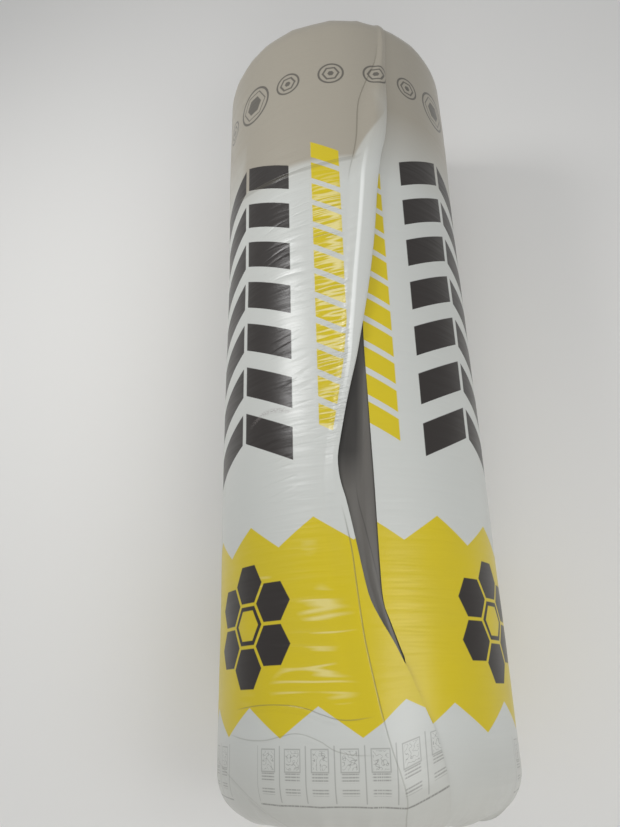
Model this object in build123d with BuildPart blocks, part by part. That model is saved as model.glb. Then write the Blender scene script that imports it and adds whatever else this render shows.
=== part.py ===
from build123d import *
from math import cos, degrees, radians, sin
import os

# A roll of glass wool insulation mat in its printed film wrap, lying on its side.
# The roll's axis runs along Y, its near end at -Y, and it lies on the plane z = 0.
# The film is one sheet lapped over itself along the top. Its upper margin has rolled up
# along its free edge, and half way along the roll it draws back, so that the lap gapes.

os.makedirs("parts", exist_ok=True)

# Driving dimensions, in millimetres
roll_length = 1200.0        # over the wrapped ends: the width that the mat is sold in
roll_diameter = 384.0       # over the film
shoulder_radius = 55.0      # rounding of both wrapped ends
layer_gap = 0.4             # clearance between one layer and the next

film_wall = 1.0             # printed film on the roll's side
film_end_wall = 3.0         # printed film gathered over the ends, several layers
film_opening_diameter = 164.0
inner_film_wall = 0.6

pleat_count = 20            # folds of the gathered film, on each end
pleat_depth = 1.8
pleat_width_at_opening = 9.0
pleat_width_at_rim = 3.0
pleat_end_to_shoulder = 6.0

lap_rise = 1.4              # the upper margin over the under one
under_margin_edge = 28.0    # along the film from the top line, to +X

eye_diameter = 28.0         # left in the winding by its mandrel
turn_pitch = 16.0           # one turn of the squeezed mat
turn_seam_depth = 3.0       # between one turn and the next, on the mat's ends

# The free edge of the upper margin, as (distance from the top line along the film to +X,
# share of the roll's length from the near end). Between the two crossings of the under
# margin's edge it draws back and leaves the gap open.
gap_near_crossing = (under_margin_edge, 0.175)
gap_far_crossing = (under_margin_edge, 0.510)
gap_edge = [(13.0, 0.197), (0.0, 0.255), (-16.5, 0.332), (-1.0, 0.404), (13.5, 0.451)]
near_lap_edge = [(46.0, 0.142), (67.0, 0.101), (80.0, 0.070), (88.0, 0.0)]
far_lap_edge = [(45.0, 0.582), (59.0, 0.669), (76.0, 0.779), (86.0, 0.840), (91.0, 1.0)]

# Where the upper margin stands up from the roll, as (share of the roll's length from the
# near end, foot, free edge, rise): a low ridge by the near end, and a roll beyond it.
margin_stations = [
    (0.046, 10.0, 83.0, 2.2),
    (0.078, -4.0, 76.0, 3.6),
    (0.130, -18.0, 52.0, 4.6),
    (0.180, -27.0, 25.0, 4.4),
    (0.255, -33.0, 0.5, 3.6),
    (0.320, -36.0, -15.5, 2.8),
    (0.365, -26.0, -12.0, 3.4),
    (0.404, -13.0, -0.5, 5.0),
    (0.451, -1.0, 14.0, 7.0),
    (0.528, 15.0, 34.0, 8.4),
    (0.582, 22.0, 46.0, 9.0),
    (0.669, 30.0, 60.0, 9.0),
    (0.778, 33.0, 76.0, 8.0),
    (0.853, 49.0, 86.0, 5.8),
    (0.930, 75.0, 90.0, 2.4),
]

# What follows from the driving dimensions
roll_radius = roll_diameter / 2
half_length = roll_length / 2
film_opening_radius = film_opening_diameter / 2
inner_film_outside = roll_radius - film_wall - layer_gap
inner_film_inside = inner_film_outside - inner_film_wall
wool_radius = inner_film_inside - layer_gap
wool_end = half_length - film_end_wall - layer_gap
wool_corner = shoulder_radius - film_end_wall - layer_gap
eye_radius = eye_diameter / 2
lap_root = film_wall / 2    # the lap starts inside the film that it is part of
shoulder_start = half_length - shoulder_radius

shoulder_steps = [radians(30 * step) for step in range(4)]
margin_turns = [radians(30 * step) for step in range(7)]


def facing_along_roll(turn):
    """A plane through the axis, turned from the top line to +X. Local x runs along the
    roll's axis and local y outwards from it."""
    return Plane(
        origin=(0, 0, roll_radius), x_dir=(0, 1, 0), z_dir=(cos(turn), 0, -sin(turn))
    )


half_section = facing_along_roll(0)
roll_axis = Axis((0, 0, roll_radius), (0, 1, 0))
axis_level = Plane.XY.offset(roll_radius)


def rounded_side(end, radius, corner):
    """Side line of a round-ended roll, from one end face to the other, in a BuildLine."""
    CenterArc((corner - end, radius - corner), corner, 90, 90)
    Line((corner - end, radius), (end - corner, radius))
    CenterArc((end - corner, radius - corner), corner, 0, 90)


def stepped_side(end, radius, corner):
    """The same line for what the film hides, with each shoulder in flat steps."""
    rise = [(corner * sin(turn), corner * cos(turn)) for turn in shoulder_steps]
    near = [(corner - end - along, radius - corner + up) for along, up in rise]
    far = [(end - corner + along, radius - corner + up) for along, up in rise]
    Polyline(*reversed(near), *far)


def ridged_end(side):
    """Points down one end face of the mat, where each turn in view stands proud."""
    points = [(side * wool_end, wool_radius - wool_corner)]
    for turn in range(int((film_opening_radius - eye_radius) / turn_pitch), 0, -1):
        seam_radius = eye_radius + turn * turn_pitch
        points.append((side * wool_end, seam_radius + turn_pitch / 2))
        points.append((side * (wool_end - turn_seam_depth), seam_radius))
    points.append((side * wool_end, eye_radius + turn_pitch / 2))
    points.append((side * wool_end, eye_radius))
    return points


def on_plan(point):
    """A point of the film, as (along the film, share of the length), seen from above."""
    along_film, share = point
    return (roll_radius * sin(along_film / roll_radius), (share - 0.5) * roll_length)


def across_roll(along_film, above):
    """A point of a section across the roll, by its height above the film."""
    turn = along_film / roll_radius
    out = roll_radius + above
    return (out * sin(turn), roll_radius + out * cos(turn))


def margin_outline(foot, free_edge, rise):
    """Outline of the raised margin on the roll: half round, and rooted in the film."""
    middle, half_width = (foot + free_edge) / 2, (free_edge - foot) / 2
    over = [
        across_roll(middle - half_width * cos(turn), rise * sin(turn)) for turn in margin_turns
    ]
    root = [across_roll(middle + half_width * part, -lap_root) for part in (1, 0.5, 0, -0.5, -1)]
    return over + root


# The mat: wound glass wool, its turns open to view on both ends
with BuildPart() as wool_roll:
    with BuildSketch(half_section):
        with BuildLine():
            stepped_side(wool_end, wool_radius, wool_corner)
            Polyline(*ridged_end(1))
            Line((wool_end, eye_radius), (-wool_end, eye_radius))
            Polyline(*ridged_end(-1))
        make_face()
    revolve(axis=roll_axis)

# The dark film under the print, which shows where the lap gapes
with BuildPart() as inner_film:
    with BuildSketch(half_section):
        with Locations((0, (inner_film_inside + inner_film_outside) / 2)):
            Rectangle(roll_length - 2 * shoulder_radius, inner_film_wall)
    revolve(axis=roll_axis)

# The upper margin where it lies over the under one, first along the roll's side
with BuildPart() as lap:
    with BuildSketch(half_section):
        with Locations((0, roll_radius + (lap_rise - lap_root) / 2)):
            Rectangle(2 * shoulder_start, lap_rise + lap_root)
    revolve(axis=roll_axis)
    with BuildSketch(axis_level):
        strips = (
            (near_lap_edge, gap_near_crossing, 0),
            (far_lap_edge, gap_far_crossing, 1),
        )
        for free_edge, crossing, end_share in strips:
            with BuildLine():
                Spline(on_plan(crossing), *[on_plan(point) for point in free_edge])
                Polyline(
                    on_plan(free_edge[-1]),
                    on_plan((under_margin_edge, end_share)),
                    on_plan(crossing),
                )
            make_face()
    extrude(amount=roll_diameter, mode=Mode.INTERSECT)

# Then over both shoulders
with BuildPart() as lap_ends:
    for side, free_edge in ((-1, near_lap_edge), (1, far_lap_edge)):
        first = under_margin_edge / roll_radius
        last = free_edge[-1][0] / roll_radius
        with BuildSketch(facing_along_roll(first)):
            with BuildLine():
                along, up = side * shoulder_start, roll_radius - shoulder_radius
                outer = shoulder_radius + lap_rise
                inner = shoulder_radius - lap_root
                turn = 0 if side > 0 else 90
                CenterArc((along, up), outer, turn, 90)
                CenterArc((along, up), inner, turn, 90)
                Line((along, up + inner), (along, up + outer))
                Line((along + side * inner, up), (along + side * outer, up))
            make_face()
        revolve(axis=roll_axis, revolution_arc=degrees(last - first))

# And where it stands up along its free edge
with BuildPart() as raised_margin:
    for share, foot, free_edge, rise in margin_stations:
        across = Plane(
            origin=(0, (share - 0.5) * roll_length, 0), x_dir=(1, 0, 0), z_dir=(0, -1, 0)
        )
        with BuildSketch(across):
            with BuildLine():
                Polyline(*margin_outline(foot, free_edge, rise), close=True)
            make_face()
    loft(ruled=True)

# The printed film: side, shoulders and ends in one, pleated in to an open eye
with BuildPart() as printed_film:
    with BuildSketch(half_section):
        with BuildLine():
            inner_end = half_length - film_end_wall
            inner_corner = shoulder_radius - film_end_wall
            inner_flat_radius = roll_radius - film_wall - inner_corner
            rounded_side(half_length, roll_radius, shoulder_radius)
            stepped_side(inner_end, roll_radius - film_wall, inner_corner)
            for side in (-1, 1):
                Polyline(
                    (side * half_length, roll_radius - shoulder_radius),
                    (side * half_length, film_opening_radius),
                    (side * inner_end, film_opening_radius),
                    (side * inner_end, inner_flat_radius),
                )
        make_face()
    revolve(axis=roll_axis)
    add(lap.part)
    add(lap_ends.part)
    add(raised_margin.part)
    with BuildSketch(axis_level):
        with BuildLine():
            gap_points = [gap_near_crossing, *gap_edge, gap_far_crossing]
            Spline(*[on_plan(point) for point in gap_points])
            Line(on_plan(gap_far_crossing), on_plan(gap_near_crossing))
        make_face()
    extrude(amount=roll_diameter, mode=Mode.SUBTRACT)
    for side in (-1, 1):
        end_face = Plane(
            origin=(0, side * half_length, roll_radius), x_dir=(1, 0, 0), z_dir=(0, side, 0)
        )
        with BuildSketch(end_face):
            with PolarLocations(0, pleat_count):
                pleat_start = film_opening_radius - pleat_width_at_opening
                pleat_end = roll_radius - shoulder_radius - pleat_end_to_shoulder
                Polygon(
                    (pleat_start, -pleat_width_at_opening / 2),
                    (pleat_end, -pleat_width_at_rim / 2),
                    (pleat_end, pleat_width_at_rim / 2),
                    (pleat_start, pleat_width_at_opening / 2),
                    align=None,
                )
        extrude(amount=-pleat_depth, mode=Mode.SUBTRACT)

wool_roll.part.label = "wool_roll"
inner_film.part.label = "inner_film"
printed_film.part.label = "printed_film"

export_step(wool_roll.part, "parts/wool_roll.step")
export_step(inner_film.part, "parts/inner_film.step")
export_step(printed_film.part, "parts/printed_film.step")
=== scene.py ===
import bmesh
import bpy
from bisect import bisect
from math import cos, pi, radians, sin
from mathutils import Matrix, Vector, noise


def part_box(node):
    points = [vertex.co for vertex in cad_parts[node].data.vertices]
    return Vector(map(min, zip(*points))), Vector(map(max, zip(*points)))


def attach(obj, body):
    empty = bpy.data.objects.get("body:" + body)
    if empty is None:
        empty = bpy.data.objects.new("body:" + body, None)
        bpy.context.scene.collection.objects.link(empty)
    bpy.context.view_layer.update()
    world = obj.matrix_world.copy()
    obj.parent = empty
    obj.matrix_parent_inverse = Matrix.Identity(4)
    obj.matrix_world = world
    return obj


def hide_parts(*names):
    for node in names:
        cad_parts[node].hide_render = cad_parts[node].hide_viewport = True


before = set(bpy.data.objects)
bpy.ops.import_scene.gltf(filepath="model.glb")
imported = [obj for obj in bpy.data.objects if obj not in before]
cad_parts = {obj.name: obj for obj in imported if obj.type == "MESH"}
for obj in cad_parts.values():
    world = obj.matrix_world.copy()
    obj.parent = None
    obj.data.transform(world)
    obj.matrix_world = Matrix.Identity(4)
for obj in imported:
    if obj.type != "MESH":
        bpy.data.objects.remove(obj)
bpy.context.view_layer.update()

# The camera stands over the near end of the roll, about a metre above it, and looks down
# towards the far end. The photograph's lens was worked out from the roll's own outline.
film_low, film_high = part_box("printed_film")
lap_over_ends = 0.0014
roll_length = film_high[1] - film_low[1] - 2 * lap_over_ends
roll_radius = film_high[0]
near_end = -roll_length / 2

photo_long_side = 827
focal_length_in_pixels = 700
camera_from_near_end = 0.130
camera_above_axis = 1.010
camera_pitch = radians(22.5)
camera_yaw = radians(3.5)
camera_roll = radians(-1.5)

camera_data = bpy.data.cameras.new("camera")
camera_data.sensor_width = 36
camera_data.lens = focal_length_in_pixels / photo_long_side * camera_data.sensor_width
camera = bpy.data.objects.new("camera", camera_data)
camera.matrix_world = (
    Matrix.Translation((0, near_end + camera_from_near_end, roll_radius + camera_above_axis))
    @ Matrix.Rotation(camera_yaw, 4, "Y")
    @ Matrix.Rotation(camera_pitch, 4, "X")
    @ Matrix.Rotation(camera_roll, 4, "Z")
)
bpy.context.collection.objects.link(camera)
bpy.context.scene.camera = camera


# The mat: glass wool bound with resin, golden yellow, wound up tight on a mandrel that is
# then drawn out, which leaves the eye. It is one long sheet, so its ends show a spiral of
# layered fibres, a little uneven from turn to turn, with loose fibres standing out.
class Socket:
    """An output of a node. Arithmetic on it adds Math nodes to its tree."""

    def __init__(self, tree, output=None):
        self.tree = tree
        self.output = output

    def node(self, kind, settings, sockets, output=0):
        """Adds any node: its settings first, then the values or links of its sockets."""
        new = self.tree.nodes.new(kind)
        for name, value in settings.items():
            setattr(new, name, value)
        for name, value in sockets.items():
            if isinstance(value, Socket):
                self.tree.links.new(value.output, new.inputs[name])
            else:
                new.inputs[name].default_value = value
        return Socket(self.tree, new.outputs[output] if len(new.outputs) else None)

    def sibling(self, name):
        """Another output of the same node."""
        return Socket(self.tree, self.output.node.outputs[name])

    def math(self, operation, *values, clamp=False):
        """A Math node on these values."""
        sockets = dict(enumerate(values))
        return self.node("ShaderNodeMath", {"operation": operation, "use_clamp": clamp}, sockets)

    def __add__(self, other):
        return self.math("ADD", self, other)

    def __radd__(self, other):
        return self.math("ADD", other, self)

    def __sub__(self, other):
        return self.math("SUBTRACT", self, other)

    def __rsub__(self, other):
        return self.math("SUBTRACT", other, self)

    def __mul__(self, other):
        return self.math("MULTIPLY", self, other)

    def __rmul__(self, other):
        return self.math("MULTIPLY", other, self)

    def __truediv__(self, other):
        return self.math("DIVIDE", self, other)

    def __mod__(self, other):
        return self.math("FLOORED_MODULO", self, other)

    def __pow__(self, other):
        return self.math("POWER", self, other)

    def __abs__(self):
        return self.math("ABSOLUTE", self)

    def lower(self, other):
        return self.math("MINIMUM", self, other)

    def higher(self, other):
        return self.math("MAXIMUM", self, other)

    def under(self, limit, blur):
        """1 where this is less than the limit and 0 above it, with an edge of that blur."""
        return self.math("MULTIPLY_ADD", limit - self, 1 / blur, 0.5, clamp=True)

    def over(self, limit, blur):
        """1 where this is more than the limit and 0 below it."""
        return self.math("MULTIPLY_ADD", self - limit, 1 / blur, 0.5, clamp=True)

    def mixed(self, low, high):
        """A colour between low and high, by this factor."""
        sockets = {0: self, 6: low, 7: high}
        return self.node("ShaderNodeMix", {"data_type": "RGBA"}, sockets, output=2)

    def scaled(self, x, y, z):
        """This vector, stretched by a factor along each axis."""
        sockets = {0: self, 1: (x, y, z)}
        return self.node("ShaderNodeVectorMath", {"operation": "MULTIPLY"}, sockets)

    def noise(self, scale, detail=2.0, roughness=0.5):
        """Noise from 0 to 1 at this vector."""
        sockets = {"Vector": self, "Scale": scale, "Detail": detail, "Roughness": roughness}
        return self.node("ShaderNodeTexNoise", {}, sockets)

    def ridged(self):
        """This noise folded into thin ridges: 1 along their lines, and less beside them."""
        return 1 - abs(self * 2 - 1)


def colour(red, green, blue):
    """A colour as it is seen on a screen, from 0 to 255, as Blender's linear values."""
    channels = [((c / 255 + 0.055) / 1.055) ** 2.4 for c in (red, green, blue)]
    return (*channels, 1.0)


def new_material(name, laid_on):
    """A material with its Principled shader, and the vector that its pattern is laid on: the
    object's own places, or a UV map by its name."""
    material = bpy.data.materials.new(name)
    material.use_nodes = True
    tree = material.node_tree
    shader = tree.nodes["Principled BSDF"]
    if laid_on == "Object":
        vector = Socket(tree).node("ShaderNodeTexCoord", {}, {}, output="Object")
    else:
        vector = Socket(tree).node("ShaderNodeUVMap", {"uv_map": laid_on}, {})
    return material, shader, vector


def drive(shader, name, value):
    """Links a worked-out value to one of the shader's sockets."""
    value.tree.links.new(value.output, shader.inputs[name])


def bump(shader, height, strength=1.0):
    """Shades the surface as if it stood up by a worked-out height, in metres."""
    sockets = {"Strength": strength, "Distance": 1.0, "Height": height}
    drive(shader, "Normal", height.node("ShaderNodeBump", {}, sockets))


def parts_of(vector):
    """The three numbers of a vector."""
    first = vector.node("ShaderNodeSeparateXYZ", {}, {0: vector})
    return first, first.sibling(1), first.sibling(2)


def finished_object(name, mesh, material):
    """A new object of this mesh, painted and in the scene."""
    piece = bpy.data.objects.new(name, mesh)
    mesh.materials.clear()
    mesh.materials.append(material)
    bpy.context.collection.objects.link(piece)
    return piece


wool_gold = colour(224, 190, 98)
wool_deep = colour(170, 130, 56)
wool_pale = colour(244, 226, 168)

wool, shader, spot = new_material("glass_wool", "Object")
across, _, up = parts_of(spot)
from_axis = up - roll_radius
turn_radius = (across * across + from_axis * from_axis) ** 0.5
layer_spot = spot.node(
    "ShaderNodeCombineXYZ", {}, {0: across * 22, 1: from_axis * 22, 2: turn_radius * 900}
)
layers = layer_spot.noise(1.0, detail=4.0, roughness=0.65)
tufts = spot.noise(160.0, detail=5.0, roughness=0.7)
clouds = spot.noise(18.0, detail=2.0)
strands = spot.scaled(230, 150, 310).noise(1.0, detail=2.0).ridged()
strands = strands.higher(spot.scaled(340, 190, 220).noise(1.0, detail=2.0).ridged())
strands = strands.over(0.95, 0.08)
tone = layers * 0.34 + tufts * 0.42 + clouds * 0.40
body_colour = tone.over(0.53, 0.36).mixed(wool_deep, wool_gold)
pale_here = (tone.over(0.72, 0.2) + strands * 0.55).lower(1.0)
drive(shader, "Base Color", pale_here.mixed(body_colour, wool_pale))
shader.inputs["Roughness"].default_value = 0.95
shader.inputs["Specular IOR Level"].default_value = 0.25
shader.inputs["Sheen Weight"].default_value = 0.35
shader.inputs["Sheen Roughness"].default_value = 0.6
bump(shader, layers * 0.0014 + tufts * 0.0026 + strands * 0.0007, strength=0.9)


def geometry_tree(name, inputs):
    """A Geometry Nodes tree with these named inputs, and the node that gives their values."""
    tree = bpy.data.node_groups.new(name, "GeometryNodeTree")
    for label, kind in inputs:
        tree.interface.new_socket(name=label, in_out="INPUT", socket_type=kind)
    tree.interface.new_socket(name="Geometry", in_out="OUTPUT", socket_type="NodeSocketGeometry")
    return tree, Socket(tree).node("NodeGroupInput", {}, {})


def give_out(given, geometry):
    """Ends a tree: its geometry made real, and painted with its Material."""
    real = given.node("GeometryNodeRealizeInstances", {}, {"Geometry": geometry})
    paint = {"Geometry": real, "Material": given.sibling("Material")}
    given.node("NodeGroupOutput", {}, {0: given.node("GeometryNodeSetMaterial", {}, paint)})


def grown(name, tree, values, material, start=None):
    """A plain mesh object of what a Geometry Nodes tree makes of a mesh with these values."""
    values = {**values, "Material": material}
    seed = bpy.data.objects.new(name + "_seed", start or bpy.data.meshes.new(name + "_seed"))
    bpy.context.collection.objects.link(seed)
    modifier = seed.modifiers.new(name, "NODES")
    modifier.node_group = tree
    for item in tree.interface.items_tree:
        if item.in_out == "INPUT" and item.name in values:
            modifier[item.identifier] = values[item.name]
    depsgraph = bpy.context.evaluated_depsgraph_get()
    mesh = bpy.data.meshes.new_from_object(seed.evaluated_get(depsgraph), depsgraph=depsgraph)
    mesh.name = name
    bpy.data.objects.remove(seed)
    return finished_object(name, mesh, material)


wool_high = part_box("wool_roll")[1]
room_past_ends = 0.003
room_around = 0.004
mat_half_width = wool_high[1] - room_past_ends
mat_radius = wool_high[0] - room_around
mat_shoulder = 0.052
eye_radius = 0.014
turn_count = 11.5
turn_slack = 0.0006

floats = "NodeSocketFloat"
winding, given = geometry_tree(
    "wound_mat",
    [
        ("Eye Radius", floats),
        ("Mat Radius", floats),
        ("Turns", floats),
        ("Turn Slack", floats),
        ("Half Width", floats),
        ("Shoulder", floats),
        ("Edge Round", floats),
        ("Unevenness", floats),
        ("Axis Height", floats),
        ("Material", "NodeSocketMaterial"),
    ],
)
eye = given.sibling("Eye Radius")
mat_out = given.sibling("Mat Radius")
half_width = given.sibling("Half Width")
shoulder = given.sibling("Shoulder")
pitch = (mat_out - eye) / (given.sibling("Turns") + 1.0)
spiral = given.node(
    "GeometryNodeCurveSpiral",
    {},
    {
        "Resolution": 72,
        "Rotations": given.sibling("Turns"),
        "Start Radius": eye + pitch * 0.5,
        "End Radius": mat_out - pitch * 0.5,
        "Height": 0.0,
    },
)
strip = given.node(
    "GeometryNodeCurvePrimitiveQuadrilateral",
    {"mode": "RECTANGLE"},
    {"Width": pitch - given.sibling("Turn Slack"), "Height": half_width * 2},
)
rounded_strip = given.node(
    "GeometryNodeFilletCurve",
    {"mode": "POLY"},
    {"Curve": strip, "Count": 5, "Radius": pitch * given.sibling("Edge Round")},
)
wound = given.node(
    "GeometryNodeCurveToMesh",
    {},
    {"Curve": spiral, "Profile Curve": rounded_strip, "Fill Caps": True},
)
place = given.node("GeometryNodeInputPosition", {}, {})
x, y, z = parts_of(place)
over_shoulder = ((x * x + y * y) ** 0.5 - (mat_out - shoulder)).higher(0.0) / shoulder
drawn_back = shoulder * (1.0 - (1.0 - over_shoulder * over_shoulder).higher(0.0) ** 0.5)
flat_place = place.scaled(1, 1, 0)
wander = flat_place.noise(28.0, detail=2.0) - 0.5
shuffle = flat_place.noise(95.0, detail=1.0) - 0.5
pushed_in = (wander * 1.2 + shuffle + 0.5) * given.sibling("Unevenness")
stays = 1.0 - (drawn_back + pushed_in) / half_width
offset = given.node("ShaderNodeCombineXYZ", {}, {2: z * (stays - 1.0)})
uneven = given.node("GeometryNodeSetPosition", {}, {"Geometry": wound, "Offset": offset})
smooth = given.node("GeometryNodeSetShadeSmooth", {}, {"Geometry": uneven, "Shade Smooth": True})
lying = given.node(
    "GeometryNodeTransform",
    {},
    {
        "Geometry": smooth,
        "Translation": given.node("ShaderNodeCombineXYZ", {}, {2: given.sibling("Axis Height")}),
        "Rotation": (pi / 2, 0, 0),
    },
)
give_out(given, lying)

mat = grown(
    "wound_mat",
    winding,
    {
        "Eye Radius": eye_radius,
        "Mat Radius": mat_radius,
        "Turns": turn_count,
        "Turn Slack": turn_slack,
        "Half Width": mat_half_width,
        "Shoulder": mat_shoulder,
        "Edge Round": 0.42,
        "Unevenness": 0.008,
        "Axis Height": roll_radius,
    },
    wool,
)
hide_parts("wool_roll")
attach(mat, "root")

# The loose fibres: single strands of the same glass wool, a few millimetres long, torn free
# where the mat was cut to width. They stand off its open ends, still held by their roots.
fraying, given = geometry_tree(
    "loose_fibres",
    [
        ("Geometry", "NodeSocketGeometry"),
        ("Ends Beyond", floats),
        ("In View Within", floats),
        ("Axis Height", floats),
        ("Fibres For Each Square Metre", floats),
        ("Fibre Length", floats),
        ("Fibre Radius", floats),
        ("Seed", "NodeSocketInt"),
        ("Material", "NodeSocketMaterial"),
    ],
)
x, along, z = parts_of(given.node("GeometryNodeInputPosition", {}, {}))
z = z - given.sibling("Axis Height")
in_view = (abs(along) - given.sibling("Ends Beyond")).lower(
    given.sibling("In View Within") - (x * x + z * z) ** 0.5
)
hidden = given.node(
    "FunctionNodeCompare",
    {"data_type": "FLOAT", "operation": "LESS_THAN"},
    {0: in_view, 1: 0.0},
)
ends = given.node(
    "GeometryNodeDeleteGeometry", {"domain": "FACE"}, {"Geometry": given, "Selection": hidden}
)
roots = given.node(
    "GeometryNodeDistributePointsOnFaces",
    {"distribute_method": "RANDOM"},
    {
        "Mesh": ends,
        "Density": given.sibling("Fibres For Each Square Metre"),
        "Seed": given.sibling("Seed"),
    },
)
length = given.sibling("Fibre Length")
bend = given.node("ShaderNodeCombineXYZ", {}, {0: length * 0.35, 2: length * 0.55})
tip = given.node("ShaderNodeCombineXYZ", {}, {0: length * 0.9, 1: length * 0.2, 2: length * 0.7})
strand = given.node(
    "GeometryNodeCurveQuadraticBezier",
    {},
    {"Resolution": 4, "Start": (0, 0, 0), "Middle": bend, "End": tip},
)
around_strand = given.node(
    "GeometryNodeCurvePrimitiveCircle",
    {"mode": "RADIUS"},
    {"Resolution": 3, "Radius": given.sibling("Fibre Radius")},
)
fibre = given.node(
    "GeometryNodeCurveToMesh",
    {},
    {"Curve": strand, "Profile Curve": around_strand, "Fill Caps": True},
)
twist = given.node(
    "FunctionNodeRandomValue",
    {"data_type": "FLOAT_VECTOR"},
    {0: (-1.3, -1.3, 0), 1: (1.3, 1.3, 2 * pi), "Seed": given.sibling("Seed")},
)
placed = given.node(
    "GeometryNodeInstanceOnPoints", {}, {"Points": roots, "Instance": fibre, "Rotation": twist}
)
give_out(given, placed)

fibre_depth = 0.016
fibre_reach = 0.086
fibres = grown(
    "loose_fibres",
    fraying,
    {
        "Ends Beyond": mat_half_width - fibre_depth,
        "In View Within": fibre_reach,
        "Axis Height": roll_radius,
        "Fibres For Each Square Metre": 90000.0,
        "Fibre Length": 0.008,
        "Fibre Radius": 0.00012,
        "Seed": 4,
    },
    wool,
    start=mat.data,
)
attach(fibres, "root")


# The dark film: a plain grey sheet of plastic wrapped round the mat, and held down by the
# printed one. It shows where the lap gapes, and lies slack enough there to stand in a soft
# ridge and to turn down on the ridge's left.
def faired(points):
    """A smooth line through (place, value) points, as a function of the place."""
    places = [place for place, value in points]
    values = [value for place, value in points]
    last = len(points) - 1
    slopes = [0.0]
    for i in range(1, last):
        slopes.append((values[i + 1] - values[i - 1]) / (places[i + 1] - places[i - 1]))
    slopes.append(0.0)

    def value_at(place):
        if place <= places[0]:
            return values[0]
        if place >= places[last]:
            return values[last]
        i = bisect(places, place) - 1
        step = places[i + 1] - places[i]
        t = (place - places[i]) / step
        rise = t * t * (3 - 2 * t)
        return (
            values[i] * (1 - rise)
            + values[i + 1] * rise
            + step * slopes[i] * t * (1 - t) ** 2
            - step * slopes[i + 1] * t * t * (1 - t)
        )

    return value_at


def eased(value, low, high):
    """From 0 at low to 1 at high, smoothly."""
    t = min(max((value - low) / (high - low), 0.0), 1.0)
    return t * t * (3 - 2 * t)


def spaced(*stretches):
    """Stations along a line: each stretch is (end of it, steps), after its starting point."""
    stations = [stretches[0]]
    for end, steps in stretches[1:]:
        start = stations[-1]
        stations += [start + (end - start) * (i + 1) / steps for i in range(steps)]
    return stations


def film_sheet(name, columns, rows, place, material, thickness, closed=False):
    """A sheet of film. For a column and a row, place gives the point, where it is on the
    sheet, and how far it is from two lines that run along the lap."""
    mesh = bpy.data.meshes.new(name)
    sheet = bmesh.new()
    laid = sheet.loops.layers.uv.new("sheet")
    lapped = sheet.loops.layers.uv.new("lap")
    grid = []
    for row in rows:
        line = []
        for column in columns:
            point, on_sheet, on_lap = place(column, row)
            line.append((sheet.verts.new(point), on_sheet, on_lap))
        grid.append(line)
    for low_line, high_line in zip(grid, grid[1:]):
        wrapped = 0 if closed else 1
        for i in range(len(columns) - wrapped):
            j = (i + 1) % len(columns)
            ring = [low_line[i], low_line[j], high_line[j], high_line[i]]
            face = sheet.faces.new([vertex for vertex, on_sheet, on_lap in ring])
            face.smooth = True
            for loop, (vertex, on_sheet, on_lap) in zip(face.loops, ring):
                loop[laid].uv = on_sheet
                loop[lapped].uv = on_lap
    sheet.to_mesh(mesh)
    sheet.free()
    piece = finished_object(name, mesh, material)
    solid = piece.modifiers.new("thickness", "SOLIDIFY")
    solid.thickness = thickness
    solid.offset = -1
    depsgraph = bpy.context.evaluated_depsgraph_get()
    thick = bpy.data.meshes.new_from_object(piece.evaluated_get(depsgraph), depsgraph=depsgraph)
    piece.modifiers.clear()
    piece.data = thick
    thick.set_sharp_from_angle(angle=radians(50))
    return piece


def round_the_axis(film_place, station, radius):
    """A point by its distance along the film from the top line, towards +X."""
    angle = film_place / roll_radius
    return Vector((radius * sin(angle), station, roll_radius + radius * cos(angle)))


film_grey = colour(105, 102, 97)
# The dark film's grey in painted shade
film_grey_in_shade = colour(47, 45, 43)

dark_film_material, shader, spot = new_material("dark_film", "Object")
off_fold, off_crease, _ = parts_of(spot.node("ShaderNodeUVMap", {"uv_map": "lap"}, {}))
_, v, _ = parts_of(spot.node("ShaderNodeUVMap", {"uv_map": "sheet"}, {}))
# Painted shade: the film is coloured darker where it turns down under the upper margin, and a
# thin painted shadow darkens its crease; the cloud adds random tone.
cloud = spot.scaled(30, 8, 30).noise(1.0, detail=3.0)
turned_down_shade = off_fold.under(-0.0050, 0.0120) * v.over(-0.208, 0.050)
crease_shadow = abs(off_crease).under(0.0004, 0.0016)
crease_shadow = crease_shadow * v.over(-0.335, 0.03) * v.under(-0.235, 0.03)
lit = 0.78 - turned_down_shade * 0.74 - crease_shadow * 0.6 + cloud * 0.3
drive(shader, "Base Color", lit.mixed(film_grey_in_shade, film_grey))
drive(shader, "Roughness", cloud * 0.2 + 0.22)
bump(shader, spot.scaled(60, 14, 60).noise(1.0, detail=1.0) * 0.0012, strength=0.6)

dark_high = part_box("inner_film")[1]
dark_radius = dark_high[0]
dark_half_width = dark_high[1]
dark_thickness = 0.0003
sunk_in_gap = 0.0012
sunk_out_of_view = 0.0020
turned_down_rise = 0.0030
ridge_rise = 0.0015
gap_left, gap_right = -0.045, 0.060

# By the distance along the roll: the fold where the film turns down, a crease beside it, and
# the left side of the gap
dark_fold = faired(
    [(-0.425, 0.038), (-0.385, 0.029), (-0.341, 0.018), (-0.318, 0.015), (-0.282, 0.012)]
    + [(-0.246, 0.012), (-0.208, 0.014), (-0.156, 0.018), (-0.122, 0.020), (-0.087, 0.022)]
    + [(-0.033, 0.025), (0.020, 0.028)]
)
dark_crease = faired([(-0.360, 0.026), (-0.320, 0.020), (-0.282, 0.0125), (-0.230, 0.004)])
gap_side = faired(
    [(-0.430, 0.046), (-0.385, 0.023), (-0.341, 0.008), (-0.294, 0.000), (-0.245, -0.009)]
    + [(-0.194, -0.017), (-0.168, -0.013), (-0.115, -0.001), (-0.058, 0.013)]
)


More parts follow.
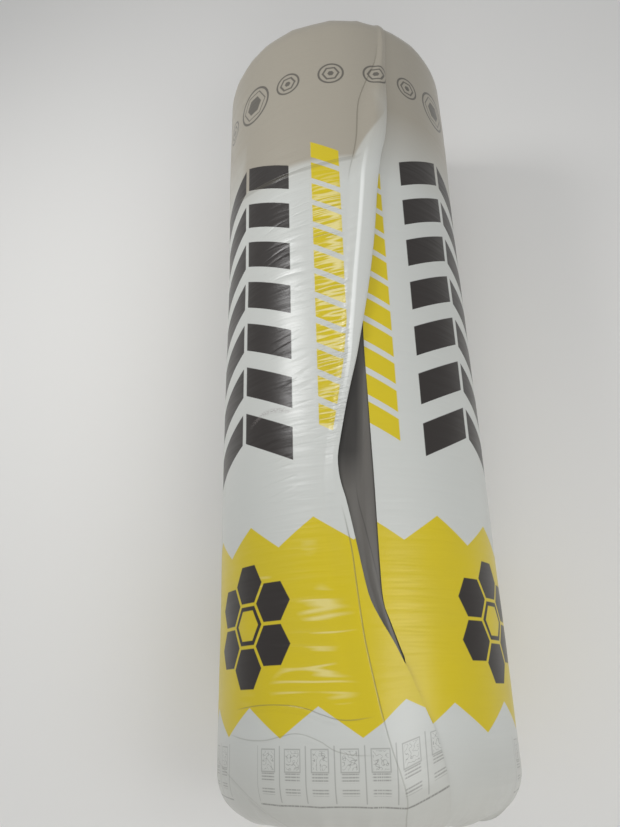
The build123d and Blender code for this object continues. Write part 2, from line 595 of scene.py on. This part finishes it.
def dark_film_place(film_place, station):
    """A point of the dark film, sunk a little where the printed one covers it."""
    from_gap = max(gap_left - film_place, film_place - gap_right, 0.0)
    sunk = sunk_in_gap + sunk_out_of_view * eased(from_gap, 0.0, 0.05)
    off_fold = film_place - dark_fold(station)
    drawn_up = turned_down_rise * eased(-off_fold, 0.003, 0.020)
    drawn_up *= eased(film_place - gap_side(station), -0.010, 0.0)
    drawn_up *= 1 - eased(station, -0.20, -0.07)
    stands = ridge_rise * eased(off_fold, -0.0026, 0.0) * (1 - eased(off_fold, 0.0, 0.011))
    stands *= 1 - eased(station, -0.04, 0.06)
    raised = (drawn_up + stands) * eased(station, -0.46, -0.36)
    point = round_the_axis(film_place, station, dark_radius - sunk + raised)
    return point, (film_place, station), (off_fold, film_place - dark_crease(station))


all_round = 2 * pi * roll_radius
dark_film = film_sheet(
    "dark_film",
    spaced(-gap_right, (gap_right, 60), (all_round - gap_right, 52))[:-1],
    spaced(-dark_half_width, (-0.42, 8), (0.04, 100), (dark_half_width, 28)),
    dark_film_place,
    dark_film_material,
    dark_thickness,
    closed=True,
)
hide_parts("inner_film")
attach(dark_film, "root")


# The printed film: one white sheet of plastic film, printed in black and yellow, wrapped
# round the roll and lapped over itself along the top, then gathered over both ends. The
# upper margin has rolled up on itself, and half way along it draws back and gapes.
film_white = colour(207, 209, 204)
# A painted highlight on the white film
film_painted_highlight = colour(240, 242, 238)
# The film with the wool showing through it, darkened further as painted shade
film_over_wool_and_shade = colour(156, 145, 125)
print_black = colour(47, 42, 39)
print_yellow = colour(219, 196, 10)
print_yellow_hazy = colour(208, 188, 44)
# A painted highlight on the yellow ink
yellow_painted_highlight = colour(238, 226, 160)
fine_print = colour(84, 81, 75)
# Painted shade for the creases
crease_shade = colour(104, 100, 84)
scuff_white = colour(150, 142, 140)
print_soft_edge = 0.0010

printed, shader, sheet = new_material("printed_film", "sheet")
u, v, _ = parts_of(sheet)
past_crest, past_foot, _ = parts_of(sheet.node("ShaderNodeUVMap", {"uv_map": "lap"}, {}))
past_top = u - all_round
on_upper_margin = past_top.over(-0.3, 0.01)

# The print repeats round the roll, by u, from a column of bars to the next, and runs along
# it by v, which is 0 half way along.
print_period = 0.2865
first_column = 0.1842
first_stripe = 0.0419


def repeated(value, start, period):
    """How far a place is from the nearest of the marks that repeat along it."""
    return (value - (start - period / 2)) % period - period / 2


def within(value, low, high, blur=print_soft_edge):
    """1 between these limits and 0 outside them."""
    return value.over(low, blur) * value.under(high, blur)


def hexagon(x, y):
    """How far out a point is in a hexagon's own measure, from its middle to its sides."""
    return (abs(x) * 0.866 + abs(y) * 0.5).higher(abs(y))


# Blocks of seven herringbone bars
bar_step = 0.0709
bar_run = 6.8 * bar_step
bar_width = 0.0444
bar_slope = 0.5
bars_inside, bars_outside = 0.004, 0.087
bars_from_middle = 0.143
margin_bare_past = 0.020
column_u = repeated(u, first_column, print_period)
beside = abs(column_u)
along_bars = v + beside * bar_slope + bars_from_middle
bars = (along_bars % bar_step).under(bar_width, print_soft_edge)
bars = bars * within(along_bars, 0.0, bar_run)
bars = bars * within(beside, bars_inside, bars_outside)
bars = bars * past_top.under(margin_bare_past, print_soft_edge)

# A stripe of slanted dashes between the blocks
dash_step = 0.0392
dash_run = 11.85 * dash_step
dash_length = 0.0295
dash_half_width = 0.0210
dash_slope = 0.6
dash_from_crest = 0.0070
dashes_from_middle = 0.157
stripe_u = repeated(u, first_stripe, print_period)
along_dashes = v + stripe_u * dash_slope + dashes_from_middle
dashes = (along_dashes % dash_step).under(dash_length, print_soft_edge)
dashes = dashes * within(along_dashes, 0.0, dash_run)
dashes = dashes * abs(stripe_u).under(dash_half_width, print_soft_edge)
dashes = dashes * past_crest.under(-dash_from_crest, print_soft_edge)

# A broad band, zigzag along both edges
first_tooth = 0.010
tooth_step = 0.0955
tooth_slope = 0.67
band_near, band_far = -0.473, -0.262
zigzag = v + abs(repeated(u, first_tooth, tooth_step)) * tooth_slope
band = within(zigzag, band_near, band_far)

# A cluster of seven hexagons on the band, the middle one in outline
hexagon_size = 0.0226
hexagon_hollow = 0.0175
hexagon_step = 0.0492
emblem_aside, emblem_row = 0.011, -0.3815
emblem_u = column_u - emblem_aside
emblem_v = v - emblem_row
cluster = within(hexagon(emblem_u, emblem_v), hexagon_hollow, hexagon_size)
for spoke in range(6):
    angle = radians(60 * spoke + 30)
    x = emblem_u - hexagon_step * cos(angle)
    y = emblem_v - hexagon_step * sin(angle)
    cluster = cluster.higher(hexagon(x, y).under(hexagon_size, print_soft_edge))
cluster = cluster * past_top.under(margin_bare_past, print_soft_edge)

# Badges in a row near the far end, every fourth one bigger
badge_row = 0.449
first_badge = 0.016
big_badge_room = 0.036
badge_u = repeated(u, first_column + first_badge, print_period / 4)
badge_v = v - badge_row
from_badge = (badge_u * badge_u + badge_v * badge_v) ** 0.5
badge_hexagon = hexagon(badge_u, badge_v)


def badge(ring, outline, middle):
    """A ring round the outline of a hexagon, with a solid one in its middle."""
    marks = within(from_badge, *ring) + within(badge_hexagon, *outline)
    return marks + badge_hexagon.under(middle, print_soft_edge)


small_badge = badge((0.0178, 0.0210), (0.0095, 0.0125), 0.0045)
big_badge = badge((0.0310, 0.0350), (0.0220, 0.0240), 0.0150)
big_here = abs(column_u - first_badge).under(big_badge_room, 0.001)
badges = small_badge * (1 - big_here) + big_badge * big_here

# A row of framed cells with small marks and bars of fine print near the near end
cell_width = 0.0325
cell_count = 7
first_cell = 0.031
cell_line_width = 0.0010
cells_near, cells_far = -0.568, -0.512
picture_row = -0.5265
print_line_step = 0.0030
print_line_width = 0.0014
upper_lines = (-0.5475, -0.5385)
lower_lines = (-0.5600, -0.5535)
rule_near, rule_far = -0.5722, -0.5704
table_u = (u - (first_column + first_cell)) % print_period
in_table = within(table_u, -cell_line_width, cell_count * cell_width + cell_line_width)
in_table = in_table * u.over(first_column, 0.001)
cell_u = table_u % cell_width - cell_width / 2
cell_v = v - picture_row
cell_line = abs(repeated(table_u, 0.0, cell_width)).under(cell_line_width / 2, print_soft_edge)
cell_line = cell_line * within(v, cells_near, cells_far)
frame_out = abs(cell_u).higher(abs(cell_v) * 0.87)
picture = within(frame_out, 0.0092, 0.0100) * 0.9
sketch = abs(sheet.noise(230.0, detail=0.6) - 0.5).under(0.024, 0.04) * 0.9
picture = picture + sketch * frame_out.under(0.0080, 0.001)
words = sheet.scaled(900, 0, 0).noise(1.0, detail=1.0).over(0.42, 0.1)
lines = (v % print_line_step).under(print_line_width, 0.0006)
lines = lines * abs(cell_u).under(0.0090, 0.002) * words
lines = lines * (within(v, *upper_lines) + within(v, *lower_lines))
rule = within(v, rule_near, rule_far, 0.0006) * words
table = (cell_line * 0.8 + picture + lines * 0.8 + rule) * in_table


def read_off(value, points):
    """The height at this place of a smooth curve through (place, height) points."""
    curve = value.node("ShaderNodeFloatCurve", {}, {1: value})
    mapping = curve.output.node.mapping
    mapping.use_clip = False
    line = mapping.curves[0]
    for point, (place, height) in zip(line.points, (points[0], points[-1])):
        point.location = (place, height)
    for place, height in points[1:-1]:
        line.points.new(place, height)
    mapping.update()
    return curve


crease_half_width, crease_blur = 0.0003, 0.0014
fold_from, fold_to, fold_blur = 0.0008, 0.0060, 0.004


def crease(points, fade=0.02):
    """A thin crease across the sheet, fading at both ends, and the fold that it throws up."""
    first, last = points[0][0], points[-1][0]
    fades = past_top.over(first, fade) * past_top.under(last, fade) * on_upper_margin
    below = read_off(past_top, points) - v
    thin = abs(below).under(crease_half_width, crease_blur) * fades
    return thin, within(below, fold_from, fold_to, fold_blur) * fades


far_crease, far_fold = crease(
    [(-0.188, 0.283), (-0.120, 0.271), (-0.073, 0.269), (-0.029, 0.272), (0.030, 0.281)]
)
mid_crease, mid_fold = crease(
    [(-0.165, -0.474), (-0.104, -0.4705), (-0.065, -0.475), (-0.048, -0.481)]
    + [(-0.026, -0.487), (0.001, -0.486)]
)
low_crease, low_fold = crease(
    [(-0.180, -0.503), (-0.124, -0.507), (-0.098, -0.503), (-0.078, -0.500)]
    + [(-0.049, -0.508), (-0.033, -0.517), (-0.001, -0.522)]
)
side_crease, side_fold = crease(
    [(-0.270, -0.524), (-0.215, -0.538), (-0.162, -0.558), (-0.118, -0.592)], fade=0.05
)

# The crest is creased by the near end, and the foot of the rolled edge by the far end
crest_crease = abs(past_crest).under(0.0006, 0.0014) * v.under(-0.27, 0.04)
crest_crease = crest_crease * (1 - v.under(-0.50, 0.06) * 0.5)
foot_crease = abs(past_foot).under(0.0006, 0.0018) * within(v, 0.26, 0.50, 0.06)
across_creases = far_crease * 0.8 + mid_crease + low_crease * 0.7 + side_crease * 0.5
creases = (across_creases + (crest_crease + foot_crease) * on_upper_margin).lower(1.0)
folds = far_fold * 0.5 + mid_fold + low_fold * 0.7 + side_fold

# A pale curved scuff across the last bars
scuff_line = abs(v + 0.112 + (past_top + 0.11) ** 2 * 9).under(0.003, 0.004)
scuff = scuff_line * within(past_top, -0.142, -0.080, 0.02) * on_upper_margin
scuff = scuff * sheet.scaled(300, 900, 0).noise(1.0, detail=3.0).over(0.52, 0.2)

# Close puckers across the dashes of the upper margin, where the ink has drawn the film up
pucker_spot = sheet.node("ShaderNodeCombineXYZ", {}, {0: u * 15, 1: (v - u * 0.10) * 145})
puckers = pucker_spot.noise(1.0, detail=1.0, roughness=0.4).ridged()
pucker_zone = abs(stripe_u).under(dash_half_width + 0.0005, 0.012)
pucker_zone = pucker_zone * within(v, -0.17, 0.235, 0.06)
pucker_zone = pucker_zone * within(past_top, -0.2, 0.06)

# Faint lines pulled across the film beside them, rising towards the lap
pulled_spot = sheet.node("ShaderNodeCombineXYZ", {}, {0: u * 7, 1: (v - u * 0.20) * 50})
pulled = pulled_spot.noise(1.0, detail=0.6)
pulled = abs(pulled * 2 - 1).under(0.07, 0.16)
patches = sheet.scaled(18, 12, 0).noise(1.0, detail=0.0).over(0.48, 0.16)
pulled_zone = within(past_top, -0.130, -0.030, 0.05) * within(v, -0.23, 0.27, 0.08) * patches

# Soft waves on the band's upper margin
waves = sheet.scaled(6, 58, 0).noise(1.0, detail=1.0).ridged()
glints = sheet.scaled(15, 17, 0).noise(1.0, detail=0.0).over(0.60, 0.14)
wave_zone = past_top.over(-0.12, 0.10) * past_crest.under(-0.020, 0.030)
wave_zone = wave_zone * within(v, -0.52, -0.24, 0.11)

# Faint ripples all over, and the film drawn together towards both ends
ripples = sheet.scaled(6, 80, 0).noise(1.0, detail=2.0)
drawn = sheet.scaled(34, 7, 0).noise(1.0, detail=1.5)
drawn_zone = abs(v).over(0.575, 0.09)
gathered = sheet.scaled(110, 6, 0).noise(1.0, detail=2.0).ridged()
gathered_zone = abs(v).over(0.640, 0.12)

# Beyond the far crease the film lies loose over the wool, whose colour shows through it, and it
# is painted darker there as shade as well
up_the_tube = (past_top - 0.026).higher(0.0) * on_upper_margin
beyond_crease = (v - up_the_tube * 2.0).over(0.278, 0.014) * within(past_top, -0.19, 0.08, 0.05)
over_wool_and_shade = beyond_crease.higher((v - up_the_tube).over(0.31, 0.15)) * 0.76
over_wool_and_shade = over_wool_and_shade.higher(v.under(-0.60, 0.20) * 0.6)
white = over_wool_and_shade.mixed(film_white, film_over_wool_and_shade)

# A painted highlight along the crest of the rolled edge, and painted light on the ridges of the
# gathers
tube_painted_highlight = within(past_crest, -0.0026, 0.0014, 0.0016) * within(v, -0.09, 0.26, 0.07)
white = (tube_painted_highlight * on_upper_margin).mixed(white, film_painted_highlight)
white = (gathered.over(0.62, 0.5) * gathered_zone * 0.6).mixed(white, film_white)

# The yellow ink varies in tone at random, the puckers and the waves carry painted highlights,
# and the creases carry painted shade
grime = sheet.noise(14.0, detail=4.0)
yellow = grime.mixed(print_yellow, print_yellow_hazy)
yellow = (puckers.over(0.88, 0.12) * pucker_zone * 0.85).mixed(yellow, yellow_painted_highlight)
yellow = (waves.over(0.93, 0.08) * wave_zone * glints * 0.6).mixed(yellow, yellow_painted_highlight)
base = band.higher(dashes).mixed(white, yellow)
base = (badges * 0.84 + table * 0.58).lower(0.84).mixed(base, fine_print)
base = bars.higher(cluster).mixed(base, print_black)
# Painted shade along the creases and in the fold below the far crease
base = (creases * 0.7).higher(far_fold * 0.30).mixed(base, crease_shade)
base = (scuff * 0.6).mixed(base, scuff_white)
drive(shader, "Base Color", base)
drive(shader, "Roughness", grime * 0.14 + 0.25)

relief = (
    (puckers - 0.8) * pucker_zone * 0.0026
    - pulled * pulled_zone * 0.0004
    + (waves - 0.8) * wave_zone * 0.0011
    + ripples * 0.0009
    + (drawn - 0.5) * drawn_zone * 0.0056
    + (gathered - 0.8) * gathered_zone * 0.0018
    - creases * 0.0004
    + folds * 0.0007
)
bump(shader, relief)

film_shoulder = 0.055
opening_radius = 0.082
film_thickness = 0.00035
half_length = roll_length / 2
straight_half = half_length - film_shoulder
shoulder_turn = film_shoulder * pi / 2
end_reach = straight_half + shoulder_turn + roll_radius - film_shoulder - opening_radius
under_margin_tip = 0.0235
widest_margin = 0.09
gather_count = 22
gather_depth = 0.0085
gather_wander = 2.6
gather_lean = 1.1
gather_growth = 1.1
gather_sharpness = 1.4
gather_level = 0.35
held_near_lap, loose_from_lap = 0.10, 0.20
loose_above_floor = 0.03
broad_slack = 0.0024
close_slack = 0.0010
lap_lift = 0.0011
curled_in = 0.012
curled_up_share = 0.40
curl_centre = 0.56
curl_turn = radians(150)
opening_dip = 0.004
opening_dip_width = 0.012
most_to_floor = 0.9

# The under margin's edge, which is dragged along under the upper one by the near end
under_edge = faired(
    [(-0.560, 0.028), (-0.500, 0.036), (-0.450, 0.047), (-0.428, 0.0485), (-0.415, 0.0440)]
    + [(-0.385, 0.0340), (-0.370, 0.0290), (-0.348, 0.0270), (-0.221, 0.0260)]
    + [(-0.115, 0.0245), (-0.014, under_margin_tip), (0.080, 0.028)]
)

# The upper margin, by the distance along the roll: its free edge, the foot and the crest of
# the part that stands up, the crest's height, how far the margin is rolled in, the free
# edge's height, and how much the print on it is turned.
free_edge = faired(
    [(-0.600, 0.095), (-0.564, 0.090), (-0.507, 0.079), (-0.479, 0.067), (-0.444, 0.053)]
    + [(-0.430, 0.046), (-0.407, 0.035), (-0.385, 0.023), (-0.363, 0.013), (-0.341, 0.008)]
    + [(-0.294, 0.000), (-0.245, -0.009), (-0.220, -0.015), (-0.194, -0.017), (-0.168, -0.013)]
    + [(-0.115, -0.001), (-0.058, 0.0125), (-0.029, 0.018), (0.029, 0.0290), (0.075, 0.0365)]
    + [(0.128, 0.0440), (0.167, 0.0485), (0.217, 0.0540), (0.279, 0.0635), (0.324, 0.0745)]
    + [(0.403, 0.085), (0.474, 0.088), (0.561, 0.092)]
)
foot_line = faired(
    [(-0.600, 0.012), (-0.564, 0.010), (-0.507, -0.006), (-0.430, -0.022), (-0.341, -0.032)]
    + [(-0.270, -0.036), (-0.220, -0.037), (-0.168, -0.032), (-0.115, -0.022), (-0.058, -0.014)]
    + [(0.033, -0.005), (0.098, 0.001), (0.167, 0.008), (0.211, 0.0125), (0.250, 0.017)]
    + [(0.290, 0.026), (0.320, 0.031), (0.386, 0.037), (0.423, 0.048), (0.470, 0.066)]
    + [(0.499, 0.073), (0.533, 0.077), (0.600, 0.080)]
)
crest_line = faired(
    [(-0.600, 0.042), (-0.582, 0.040), (-0.564, 0.040), (-0.541, 0.034), (-0.522, 0.028)]
    + [(-0.490, 0.020), (-0.438, 0.010), (-0.401, 0.004), (-0.351, -0.001), (-0.306, -0.005)]
    + [(-0.270, -0.011), (-0.220, -0.0205), (-0.168, -0.0165), (-0.118, -0.0075)]
    + [(-0.090, -0.0024), (-0.056, 0.0038), (-0.018, 0.0076), (0.027, 0.0122), (0.075, 0.0170)]
    + [(0.124, 0.0227), (0.167, 0.0275), (0.211, 0.0321), (0.250, 0.0360), (0.290, 0.0440)]
    + [(0.333, 0.0580), (0.403, 0.0690), (0.470, 0.0780), (0.540, 0.0855)]
)
crest_height = faired(
    [(-0.700, 0.0010), (-0.600, 0.0022), (-0.564, 0.0030), (-0.507, 0.0040), (-0.430, 0.0048)]
    + [(-0.341, 0.0042), (-0.270, 0.0034), (-0.194, 0.0034), (-0.115, 0.0050), (-0.029, 0.0080)]
    + [(0.098, 0.0090), (0.279, 0.0090), (0.403, 0.0072), (0.480, 0.0042), (0.540, 0.0022)]
    + [(0.600, 0.0014), (0.700, 0.0008)]
)
rolled_in = faired([(-0.180, 0.0), (-0.110, 0.5), (-0.030, 1.0), (0.340, 1.0), (0.520, 0.0)])
edge_height = faired(
    [(-0.560, 0.0005), (-0.480, 0.0018), (-0.400, 0.0032), (-0.300, 0.0028), (-0.150, 0.0036)]
    + [(0.0, 0.0020), (0.36, 0.0012), (0.50, 0.0004)]
)
print_turn = faired([(-0.540, 0.36), (-0.400, 0.0)])


def wrap_profile(reach):
    """By the distance along the film from the roll's middle: the place along the axis, the
    radius, and how much the film faces along the axis and outwards."""
    side = -1 if reach < 0 else 1
    past = abs(reach) - straight_half
    if past < 0:
        return reach, roll_radius, 0, 1
    if past < shoulder_turn:
        angle = past / film_shoulder
        along_axis = side * (straight_half + film_shoulder * sin(angle))
        radius = roll_radius - film_shoulder * (1 - cos(angle))
        return along_axis, radius, side * sin(angle), cos(angle)
    return side * half_length, roll_radius - film_shoulder - (past - shoulder_turn), side, 0


def gathers(angle, reach):
    """The folds of the gathered film, which grow from the shoulder in to the opening."""
    past = abs(reach) - straight_half
    if past < 0:
        return 0.0
    share = min(past / (end_reach - straight_half), 1.0)
    seed = 3.0 if reach < 0 else 7.0
    drift = noise.noise(Vector((1.6 * cos(angle), 1.6 * sin(angle), seed)))
    turned = gather_count / 2 * angle + gather_wander * drift + gather_lean * share
    fold = 1 - abs(sin(turned))
    depth = 0.7 + 0.8 * noise.noise(Vector((3 * cos(angle), 3 * sin(angle), seed + 4)))
    stands = fold ** gather_sharpness - gather_level
    return gather_depth * depth * share ** gather_growth * stands


def slack(point):
    """Soft unevenness of the whole roll, in metres."""
    broad = noise.noise(Vector((point.x * 4, point.y * 3.2, point.z * 4)))
    close = noise.noise(Vector((point.x * 11 + 5, point.y * 9, point.z * 11)))
    return broad_slack * broad + close_slack * close


def upper_margin(past_top, margin_end, reach):
    """The upper margin over the lap, by how far a point of it is past the top line: its place
    along the film, its height, how far its print has slid along the roll, and how far it is
    past the crest and the foot."""
    foot, crest, edge = foot_line(reach), crest_line(reach), free_edge(reach)
    low, high = edge_height(reach), crest_height(reach)
    tucked = rolled_in(reach)
    loose_margin = margin_end - foot
    up_to_crest = curled_up_share * tucked + (1 - tucked) * (crest - foot) / (edge - foot)
    up_to_crest *= loose_margin
    from_foot = past_top - foot
    from_crest = from_foot - up_to_crest
    film_place, height, slid = past_top, 0.0, 0.0
    if from_crest >= 0:
        part = from_crest / (loose_margin - up_to_crest)
        turned = part * curl_turn
        centre = curl_centre * high
        rolled_place = crest + (edge - crest) * sin(turned)
        rolled_height = centre + (high - centre) * cos(turned)
        plain_place = crest + (edge - crest) * part
        plain_height = high + (low - high) * part
        film_place = rolled_place * tucked + plain_place * (1 - tucked)
        height = rolled_height * tucked + plain_height * (1 - tucked)
        slid = print_turn(reach) * (crest - past_top)
    elif from_foot > 0:
        part = from_foot / up_to_crest
        film_place = foot + (crest - foot) * part
        drawn_out = sin(pi / 2 * part ** 2)
        gentle = part * part * (3 - 2 * part)
        height = high * (drawn_out * tucked + gentle * (1 - tucked))
    return film_place, height, slid, (from_crest, from_foot)


def printed_film_place(share, reach):
    """A point of the sheet, by its share of the way from the under margin to the free edge."""
    under = under_edge(reach)
    sheet_end = all_round + free_edge(reach) + curled_in * rolled_in(reach)
    on_sheet = under + (sheet_end - under) * share
    past_top = on_sheet - all_round
    film_place, height, slid, on_lap = upper_margin(past_top, sheet_end - all_round, reach)
    station, radius, faces_along, faces_out = wrap_profile(reach)
    point = round_the_axis(film_place, station, radius)
    from_lap = abs(on_sheet) if on_sheet < all_round / 2 else abs(past_top)
    loose = eased(from_lap, held_near_lap, loose_from_lap)
    loose *= eased(point.z, 0.0, loose_above_floor)
    height += lap_lift * eased(past_top, -0.02, under - 0.004)
    height += slack(point) * loose
    height += gathers(film_place / roll_radius, reach)
    height -= opening_dip * eased(abs(reach), end_reach - opening_dip_width, end_reach)
    outward = round_the_axis(film_place, 0.0, 1.0) - Vector((0, 0, roll_radius))
    outward = outward * faces_out + Vector((0, faces_along, 0))
    if outward.z < 0:
        height = min(height, most_to_floor * point.z / -outward.z)
    return point + outward * height, (on_sheet, reach + slid), on_lap


def share_of(place):
    """About the share of the sheet's width that this place along the film is at."""
    return (place - under_margin_tip) / (all_round + widest_margin - under_margin_tip)


# The sheet is divided finely where the upper margin stands up, and over both shoulders
film_columns = spaced(
    0.0,
    (share_of(0.12), 16),
    (share_of(all_round - 0.10), 150),
    (share_of(all_round - 0.045), 12),
    (1.0, 82),
)
film_rows = spaced(
    -end_reach,
    (-straight_half - shoulder_turn, 12),
    (-straight_half, 14),
    (0.30, 98),
    (straight_half, 26),
    (straight_half + shoulder_turn, 14),
    (end_reach, 12),
)
printed_film = film_sheet(
    "printed_film_wrap", film_columns, film_rows, printed_film_place, printed, film_thickness
)
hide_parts("printed_film")
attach(printed_film, "root")


# The studio: a plain pale floor, a soft lamp over each side of the roll, a broad one high up
# beyond each of its ends, and an even light from all round.
floor_mesh = bpy.data.meshes.new("floor")
floor_reach = 9
corners = [(-1, -1), (1, -1), (1, 1), (-1, 1)]
corners = [(floor_reach * x, floor_reach * y, 0) for x, y in corners]
floor_mesh.from_pydata(corners, [], [(0, 1, 2, 3)])
floor_material, shader, spot = new_material("floor", "Object")
shader.inputs["Base Color"].default_value = colour(240, 239, 236)
shader.inputs["Roughness"].default_value = 0.8
floor = finished_object("floor", floor_mesh, floor_material)


def soft_lamp(name, place, aim, size, power, beam, glare=True):
    """A square lamp that looks at a point, with the angle that it lights."""
    lamp = bpy.data.lights.new(name, "AREA")
    lamp.shape = "RECTANGLE"
    lamp.size = lamp.size_y = size
    lamp.energy = power
    lamp.spread = radians(beam)
    hung = bpy.data.objects.new(name, lamp)
    hung.visible_glossy = glare
    turn = (Vector(place) - Vector(aim)).to_track_quat("Z", "Y")
    hung.matrix_world = Matrix.Translation(place) @ turn.to_matrix().to_4x4()
    bpy.context.collection.objects.link(hung)


soft_lamp("key_lamp", (-1.0, 0.60, 1.2), (0, 0.05, 0.2), 0.4, 3.4, 130)
soft_lamp("fill_lamp", (0.8, -0.5, 1.5), (0, -0.10, 0.2), 0.8, 3.1, 130)
soft_lamp("far_end_lamp", (0.5, 3.2, 2.2), (0, 0.6, 0.15), 1.6, 6, 180, glare=False)
soft_lamp("near_end_lamp", (0.1, -3.2, 2.2), (0, -0.6, 0.15), 1.6, 25, 180, glare=False)

world = bpy.data.worlds.new("studio")
world.use_nodes = True
all_round_light = world.node_tree.nodes["Background"]
all_round_light.inputs["Color"].default_value = colour(235, 236, 238)
all_round_light.inputs["Strength"].default_value = 0.48
bpy.context.scene.world = world

bpy.context.scene.view_settings.view_transform = "Standard"
